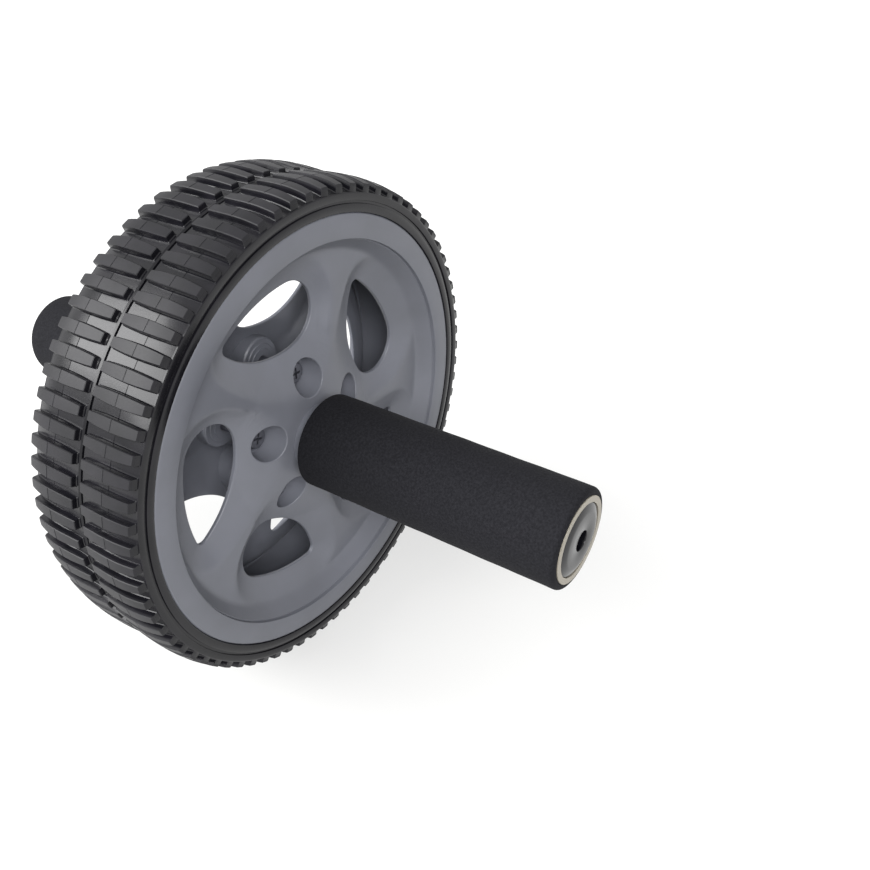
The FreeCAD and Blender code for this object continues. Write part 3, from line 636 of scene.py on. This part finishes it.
def bar_top(depth):
    """Radius of a bar's top: crowned along its length, and more so towards its outer end."""
    crown = np.where(depth > BAR_MIDDLE, OUTER_CROWN, INNER_CROWN)
    return TREAD_TOP - crown * (1 - barrel(depth))


def tyre_grid():
    """A tyre as one grid: a section carried round the axle, and over the tread raised into bars.

    Each pitch has ten lines: the middle of the gap, then the foot, side, shoulder and edge of the bar, its
    middle, and the same four again. The lines lie apart by the bar's width at each depth, and the bar's
    height comes and goes at its ends.
    """
    depths = [BAR_START - INNER_APRON, BAR_START - BAR_FACE, BAR_START + BAR_FACE, BAR_START + BAR_SHOULDER]
    depths += [BAR_START + row for row in BAR_ROWS]
    depths += [SEAM_DEPTH + row for row in (-SEAM_EDGE, -SEAM_FLOOR, SEAM_FLOOR, SEAM_EDGE, *SEAM_ROWS)]
    depths += [BAR_END - BAR_SHOULDER, BAR_END - BAR_FACE, BAR_END + BAR_FACE, BAR_END + OUTER_APRON]
    shares = [*END_SHARES] + [1] * (len(depths) - 2 * len(END_SHARES)) + [*END_SHARES[::-1]]
    wall = TYRE_OUTER
    edge = TREAD_FLOOR - FLOOR_CROWN
    side = [(edge + rise, wall - sink) for rise, sink in WALL_EDGE]
    side += [(SIDE_GROOVE + out, wall - sink) for out, sink in GROOVE_HALF]
    side += [(SIDE_GROOVE - out, wall - sink) for out, sink in GROOVE_HALF[::-1]]
    side += eased((TYRE_SEAT, wall), (SEAT_EDGE, 0), (0, -SEAT_EDGE), SEAT_EDGE_NEAR)
    under = [(TYRE_SEAT, TYRE_GROOVE[1] - TYRE_FIT), (TYRE_RIB, TYRE_GROOVE[1] - TYRE_FIT),
             (TYRE_RIB, TYRE_GROOVE[0] + TYRE_FIT), (TYRE_SEAT, TYRE_GROOVE[0] + TYRE_FIT),
             (TYRE_SEAT, TYRE_INNER), (TREAD_FLOOR - INNER_CHAMFER, TYRE_INNER),
             (TREAD_FLOOR, TYRE_INNER + INNER_CHAMFER)]
    loop = [(tread_floor(depth), depth) for depth in depths] + side + under
    loop.append(loop[0])
    radius, depth = np.array(loop).T
    share = np.zeros(len(loop))
    share[:len(depths)] = shares
    in_seam = np.abs(depth - SEAM_DEPTH) < (SEAM_FLOOR + SEAM_EDGE) / 2
    seam = np.where(in_seam & (share > 0), SEAM_SINK, 0)
    height = (bar_top(depth) - radius) * share
    half = (BAR_END_WIDTH + BAR_SWELL * barrel(depth)) / 2
    gap = BAR_PITCH * TREAD_FLOOR / 2
    foot = np.minimum(height, BAR_FOOT)
    shoulder = np.maximum(height - BAR_ROUND, 0)
    flank = [(half + FOOT_SPREAD, 0 * height), (half + FLANK_DRAFT, foot), (half - FLANK_DRAFT, shoulder),
             (half - BAR_ROUND, height)]
    lines = [(0 * half - gap, 0 * height)]
    lines += [(-offset, level) for offset, level in flank]
    lines += [(0 * half, height)]
    lines += [(offset, level) for offset, level in flank[::-1]]
    offset = np.stack([line[0] for line in lines])
    level = np.stack([line[1] for line in lines])
    reach = radius + level - seam
    angle = offset / np.where(share > 0, reach, TREAD_FLOOR)
    turn = math.pi / 2 + BAR_PITCH * np.arange(BARS)
    angles = (turn[:, None, None] + angle).reshape(-1, len(loop))
    reaches = np.broadcast_to(reach, (BARS, *reach.shape)).reshape(-1, len(loop))
    levels = np.broadcast_to(level, (BARS, *level.shape)).reshape(-1, len(loop))
    closing = [np.concatenate([values, values[:1]]) for values in (reaches, angles, levels)]
    closing[1][-1] += 2 * math.pi
    return stand(flat(np.stack(closing[:2], axis=-1)), depth), closing[2]


# Moulded rubber: near black, shiny where the mould was polished between the bars, matt on their tops.
# Handling dulls the tops, and a faint grey bloom lies over the rubber in patches.
BLOOM_PATCH = 9 * MM
RUBBER_GRAIN = 0.7 * MM
# Heights above the tread's floor, in millimetres, where the polish begins to give way and is gone.
POLISH_ENDS = (1.2, 1.8)

rubber = new_material("moulded_black_rubber")
place = put(rubber, "ShaderNodeTexCoord").outputs["Object"]
level = put(rubber, "ShaderNodeAttribute", attribute_name="mark").outputs["Fac"]
worn = put(rubber, "ShaderNodeMapRange", {
    "Value": level, "From Min": POLISH_ENDS[0], "From Max": POLISH_ENDS[1],
}).outputs["Result"]
bloom = put(rubber, "ShaderNodeTexNoise", {
    "Vector": place, "Scale": 1 / BLOOM_PATCH, "Detail": 5.0,
}).outputs["Fac"]
grain = put(rubber, "ShaderNodeTexNoise", {
    "Vector": place, "Scale": 1 / RUBBER_GRAIN, "Detail": 3.0,
}).outputs["Fac"]
tone = put(rubber, "ShaderNodeValToRGB", {"Fac": bloom})
tone.color_ramp.elements[0].position = 0.35
tone.color_ramp.elements[0].color = linear("#101014")
tone.color_ramp.elements[1].position = 0.7
tone.color_ramp.elements[1].color = linear("#1B1A1F")
gloss = put(rubber, "ShaderNodeMapRange", {"Value": worn, "To Min": 0.2, "To Max": 0.44}).outputs["Result"]
rough = put(rubber, "ShaderNodeMath", {
    0: grain, 1: 0.06, 2: gloss,
}, operation="MULTIPLY_ADD").outputs["Value"]
bump = put(rubber, "ShaderNodeBump", {"Height": grain, "Strength": 0.1, "Distance": 0.04 * MM})
put(rubber, "Principled BSDF", {
    "Base Color": tone.outputs["Color"], "Roughness": rough, "IOR": 1.5, "Specular IOR Level": 0.32,
    "Normal": bump.outputs["Normal"],
})

tyre_places, tyre_levels = tyre_grid()
for side, patches in (("back", [tyre_places]), ("front", turned_round([tyre_places]))):
    tyre = piece(f"tyre_{side}_rubber", patches, rubber, crease=30, marks=tyre_levels)
    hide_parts(f"tyre_{side}")
    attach(tyre, "wheel")

# Handle cores: moulded ivory tubes that slide on the ends of the axle.
# Only their outer ends show, as a pale ring between the foam and the plug.
IVORY_GRAIN = 0.5 * MM

ivory = new_material("ivory_polypropylene")
place = put(ivory, "ShaderNodeTexCoord").outputs["Object"]
grain = put(ivory, "ShaderNodeTexNoise", {
    "Vector": place, "Scale": 1 / IVORY_GRAIN, "Detail": 3.0,
}).outputs["Fac"]
satin = put(ivory, "ShaderNodeMapRange", {"Value": grain, "To Min": 0.32, "To Max": 0.46}).outputs["Result"]
bump = put(ivory, "ShaderNodeBump", {"Height": grain, "Strength": 0.15, "Distance": 0.04 * MM})
put(ivory, "Principled BSDF", {
    "Base Color": linear("#A8A193"), "Roughness": satin, "IOR": 1.49, "Normal": bump.outputs["Normal"],
})
dress(ivory, "handle_core_front", "handle_core_back")

# Foam grips: sleeves of black closed-cell foam, cut to length and pushed over the cores.
# The skin and the rounded ends are ground to size, so they are matt and show the fine cut cells.
FOAM_LOW, FOAM_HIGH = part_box("foam_grip_back")
FOAM_RADIUS = FOAM_HIGH.x / MM
FOAM_BORE = FOAM_RADIUS - 2.45
FOAM_ENDS = (FOAM_LOW.y / MM, FOAM_HIGH.y / MM)
FOAM_ROUND = 1.7
FOAM_INNER_ROUND = 0.6
FOAM_ROWS = 40
FOAM_ROW_MARGINS = (4.0, 5.0)
FOAM_SIDES = 96
FOAM_WAVE = 0.12
# Two crossed waves: radians to the millimetre along the sleeve, lobes round it, and the second one's start.
WAVE_TURNS = (0.13, 0.31)
WAVE_LOBES = (2, 3)
WAVE_START = 1.0
BORE_MARGIN = 0.1
FOAM_CELL = 0.45 * MM
FOAM_SPECK = 0.75 * MM


def foam_grid():
    """A foam sleeve: a section carried round the axle, with a slow wave in its radius from the grinding."""
    start, finish = FOAM_ENDS
    outer_round = zip(*quarter_round(FOAM_ROUND, steps=5))
    inner_round = zip(*quarter_round(FOAM_INNER_ROUND, steps=3))
    first, last = start + FOAM_ROW_MARGINS[0], finish - FOAM_ROW_MARGINS[1]
    section = [(FOAM_BORE, start)]
    section += [(FOAM_RADIUS - FOAM_INNER_ROUND + out, start + down) for out, down in inner_round]
    section += [(FOAM_RADIUS, depth) for depth in np.linspace(first, last, FOAM_ROWS)]
    section += [(FOAM_RADIUS - FOAM_ROUND + out, finish - down) for out, down in list(outer_round)[::-1]]
    section += [(FOAM_BORE, finish), (FOAM_BORE, start)]
    grid = around(section, 0, FOAM_SIDES)
    angle = np.arctan2(grid[..., 2], grid[..., 0])
    depth = grid[..., 1]
    outside = np.hypot(grid[..., 0], grid[..., 2]) > FOAM_BORE + BORE_MARGIN
    wave = np.sin(WAVE_TURNS[0] * depth + WAVE_LOBES[0] * angle)
    wave *= np.sin(WAVE_TURNS[1] * depth - WAVE_LOBES[1] * angle + WAVE_START)
    scale = 1 - outside * FOAM_WAVE * (0.5 + 0.5 * wave) / FOAM_RADIUS
    return grid * np.stack([scale, np.ones_like(scale), scale], axis=-1)


foam = new_material("black_closed_cell_foam")
place = put(foam, "ShaderNodeTexCoord").outputs["Object"]
cells = put(foam, "ShaderNodeTexVoronoi", {"Vector": place, "Scale": 1 / FOAM_CELL}).outputs["Distance"]
speck = put(foam, "ShaderNodeTexNoise", {
    "Vector": place, "Scale": 1 / FOAM_SPECK, "Detail": 4.0,
}).outputs["Fac"]
tone = put(foam, "ShaderNodeValToRGB", {"Fac": speck})
tone.color_ramp.elements[0].position = 0.35
tone.color_ramp.elements[0].color = linear("#121216")
tone.color_ramp.elements[1].position = 0.68
tone.color_ramp.elements[1].color = linear("#202024")
bump = put(foam, "ShaderNodeBump", {"Height": cells, "Strength": 0.45, "Distance": 0.2 * MM})
put(foam, "Principled BSDF", {
    "Base Color": tone.outputs["Color"], "Roughness": 0.92, "IOR": 1.4, "Specular IOR Level": 0.3,
    "Normal": bump.outputs["Normal"],
})

foam_places = foam_grid()
for side, patches in (("back", [foam_places]), ("front", turned_round([foam_places]))):
    grip = piece(f"foam_grip_{side}_sleeve", patches, foam, crease=40)
    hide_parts(f"foam_grip_{side}")
    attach(grip, "handlebar")

# End plugs: glossy black caps pressed into the cores, with a wide bevel and a hole for the screw's key.
# Polished polystyrene: deep black with a clear, hard gloss and a few hairline marks from handling.
PLUG_LOW, PLUG_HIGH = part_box("end_plug_back")
PLUG_RADIUS = PLUG_HIGH.x / MM
PLUG_FACE = PLUG_HIGH.y / MM
PLUG_INNER = PLUG_LOW.y / MM
PLUG_EDGE = PLUG_FACE - 0.9
PLUG_FLAT = PLUG_RADIUS - 2.8
PLUG_HOLE = 3.5
PLUG_PLATE = 2.2
PLUG_SKIRT = 1.5
PLUG_ROUND = 0.35
PLUG_ROUND_NEAR = 0.1
PLUG_SIDES = 120
# The bevel's rounded start as (step out, sink) pairs, and its rounded end as (step in, rise) pairs.
BEVEL_START = ((-0.5, 0.0), (-0.1, 0.03), (0.4, 0.14))
BEVEL_END = ((0.3, 0.1), (0.06, -0.04), (0.0, -0.3))
HAIRLINE = 1.2 * MM

plug_section = eased((PLUG_HOLE, PLUG_FACE), (0, -PLUG_ROUND), (PLUG_ROUND, 0), PLUG_ROUND_NEAR)
plug_section += [(PLUG_FLAT + out, PLUG_FACE - sink) for out, sink in BEVEL_START]
plug_section += [(PLUG_RADIUS - step, PLUG_EDGE + rise) for step, rise in BEVEL_END]
plug_section += [
    (PLUG_RADIUS, PLUG_INNER), (PLUG_RADIUS - PLUG_SKIRT, PLUG_INNER),
    (PLUG_RADIUS - PLUG_SKIRT, PLUG_FACE - PLUG_PLATE), (PLUG_HOLE, PLUG_FACE - PLUG_PLATE),
    (PLUG_HOLE, PLUG_FACE - PLUG_ROUND),
]
gloss_black = new_material("polished_black_styrene")
place = put(gloss_black, "ShaderNodeTexCoord").outputs["Object"]
marks = put(gloss_black, "ShaderNodeTexNoise", {
    "Vector": place, "Scale": 1 / HAIRLINE, "Detail": 6.0, "Distortion": 2.0,
}).outputs["Fac"]
gloss = put(gloss_black, "ShaderNodeMapRange", {
    "Value": marks, "To Min": 0.08, "To Max": 0.2,
}).outputs["Result"]
put(gloss_black, "Principled BSDF", {
    "Base Color": linear("#101014"), "Roughness": gloss, "IOR": 1.5, "Specular IOR Level": 0.35,
})
plug_places = around(plug_section, 0, PLUG_SIDES)
for side, patches in (("back", [plug_places]), ("front", turned_round([plug_places]))):
    plug = piece(f"end_plug_{side}_cap", patches, gloss_black, crease=40)
    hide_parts(f"end_plug_{side}")
    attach(plug, "handlebar")

# Floor: a wide pale sheet under the tread, lit as the roller is, which runs on past the picture's edge.
# For the camera and for reflections it is lifted to white, more so far out, and keeps the roller's shadow.
FLOOR_HEIGHT = cad_low.z
FLOOR_REACH = 6.0
NEAR_FLOOR = 0.1
FAR_FLOOR = 0.3
NEAR_LIFT = 0.6
FAR_LIFT = 0.95

floor_mesh = bpy.data.meshes.new("floor")
floor_corners = FLOOR_REACH * np.array([[-1, -1], [1, -1], [1, 1], [-1, 1]])
floor_mesh.from_pydata(np.column_stack([floor_corners, np.full(4, FLOOR_HEIGHT)]), [], [[0, 1, 2, 3]])
floor = bpy.data.objects.new("floor", floor_mesh)
bpy.context.collection.objects.link(floor)


def looked_at(owner):
    """1 for rays from the camera, off gloss and through glass, and 0 for the rays that only carry light."""
    rays = put(owner, "ShaderNodeLightPath").outputs
    seen = put(owner, "ShaderNodeMath", {
        0: rays["Is Camera Ray"], 1: rays["Is Glossy Ray"],
    }, operation="MAXIMUM").outputs["Value"]
    return put(owner, "ShaderNodeMath", {
        0: seen, 1: rays["Is Transmission Ray"],
    }, operation="MAXIMUM").outputs["Value"]


white_sheet = new_material("white_sheet")
place = put(white_sheet, "ShaderNodeTexCoord").outputs["Object"]
reach = put(white_sheet, "ShaderNodeVectorMath", {0: place}, operation="LENGTH").outputs["Value"]
rise = put(white_sheet, "ShaderNodeMapRange", {
    "Value": reach, "From Min": NEAR_FLOOR, "From Max": FAR_FLOOR, "To Min": NEAR_LIFT, "To Max": FAR_LIFT,
}).outputs["Result"]
lift = put(white_sheet, "ShaderNodeMath", {
    0: looked_at(white_sheet), 1: rise,
}, operation="MULTIPLY").outputs["Value"]
put(white_sheet, "Principled BSDF", {
    "Base Color": linear("#9C9C9A"), "Roughness": 0.9,
    "Emission Color": linear("#FFFFFF"), "Emission Strength": lift,
})
floor_mesh.materials.append(white_sheet)

# Studio: a long soft light behind on the left, a smaller one beside the camera, and dim pale walls.
# The walls are white to the camera and in reflections, and give the roller only a little light.
KEY_PLACE = (-0.95, 0.64, 0.78)
KEY_SIZE = (1.4, 0.75)
KEY_POWER = 32.0
FILL_PLACE = (-0.75, -0.8, 0.67)
FILL_SIZE = (0.55, 0.55)
FILL_POWER = 13.5
WALL_LIGHT = 0.17


def facing(across, upwards, backwards, position):
    """The matrix of a lamp or camera from its three directions and its place."""
    columns = np.column_stack([across, upwards, backwards, position])
    return Matrix(np.vstack([columns, [0, 0, 0, 1]]).tolist())


def soft_light(name, position, size, power):
    """An oblong area light that points at the wheel."""
    lamp = bpy.data.lights.new(name, "AREA")
    lamp.shape = "RECTANGLE"
    lamp.size, lamp.size_y = size
    lamp.energy = power
    holder = bpy.data.objects.new(name, lamp)
    backwards = np.array(position) / np.linalg.norm(position)
    across = np.cross((0, 0, 1), backwards)
    across /= np.linalg.norm(across)
    upwards = np.cross(backwards, across)
    holder.matrix_world = facing(across, upwards, backwards, position)
    bpy.context.collection.objects.link(holder)


soft_light("key_light", KEY_PLACE, KEY_SIZE, KEY_POWER)
soft_light("fill_light", FILL_PLACE, FILL_SIZE, FILL_POWER)

world = bpy.data.worlds.new("pale_studio")
bpy.context.scene.world = world
world.use_nodes = True
level = put(world, "ShaderNodeMapRange", {
    "Value": looked_at(world), "To Min": WALL_LIGHT, "To Max": 1.0,
}).outputs["Result"]
put(world, "Background", {"Color": linear("#FFFFFF"), "Strength": level})

# Camera: stands to the left of the near handle and looks down on the wheel, as in the photograph.
# Its place and lens come from the wheel's circles and the handle, and the shift from the picture's framing.
CAMERA_TURN = math.radians(-55.23)
CAMERA_TILT = math.radians(35.19)
CAMERA_DISTANCE = 342.88 * MM
CAMERA_SIDESTEP = 49.14 * MM
CAMERA_DROP = 19.74 * MM
PICTURE_SIZE = 870
FOCAL_PIXELS = 921.93
CENTRE_SHIFT = (23.88, 38.0)
SENSOR_WIDTH = 36.0
NEAREST = 10 * MM

camera = bpy.data.cameras.new("camera")
camera.sensor_width = SENSOR_WIDTH
camera.lens = FOCAL_PIXELS / PICTURE_SIZE * SENSOR_WIDTH
camera.shift_x = CENTRE_SHIFT[0] / PICTURE_SIZE
camera.shift_y = CENTRE_SHIFT[1] / PICTURE_SIZE
camera.clip_start = NEAREST
viewer = bpy.data.objects.new("camera", camera)
level_reach = math.cos(CAMERA_TILT)
backwards = np.array([math.sin(CAMERA_TURN) * level_reach, -math.cos(CAMERA_TURN) * level_reach,
                      math.sin(CAMERA_TILT)])
rightwards = np.array([math.cos(CAMERA_TURN), math.sin(CAMERA_TURN), 0])
upwards = np.cross(backwards, rightwards)
position = backwards * CAMERA_DISTANCE + rightwards * CAMERA_SIDESTEP - upwards * CAMERA_DROP
viewer.matrix_world = facing(rightwards, upwards, backwards, position)
bpy.context.collection.objects.link(viewer)
bpy.context.scene.camera = viewer
bpy.context.scene.view_settings.view_transform = "Standard"
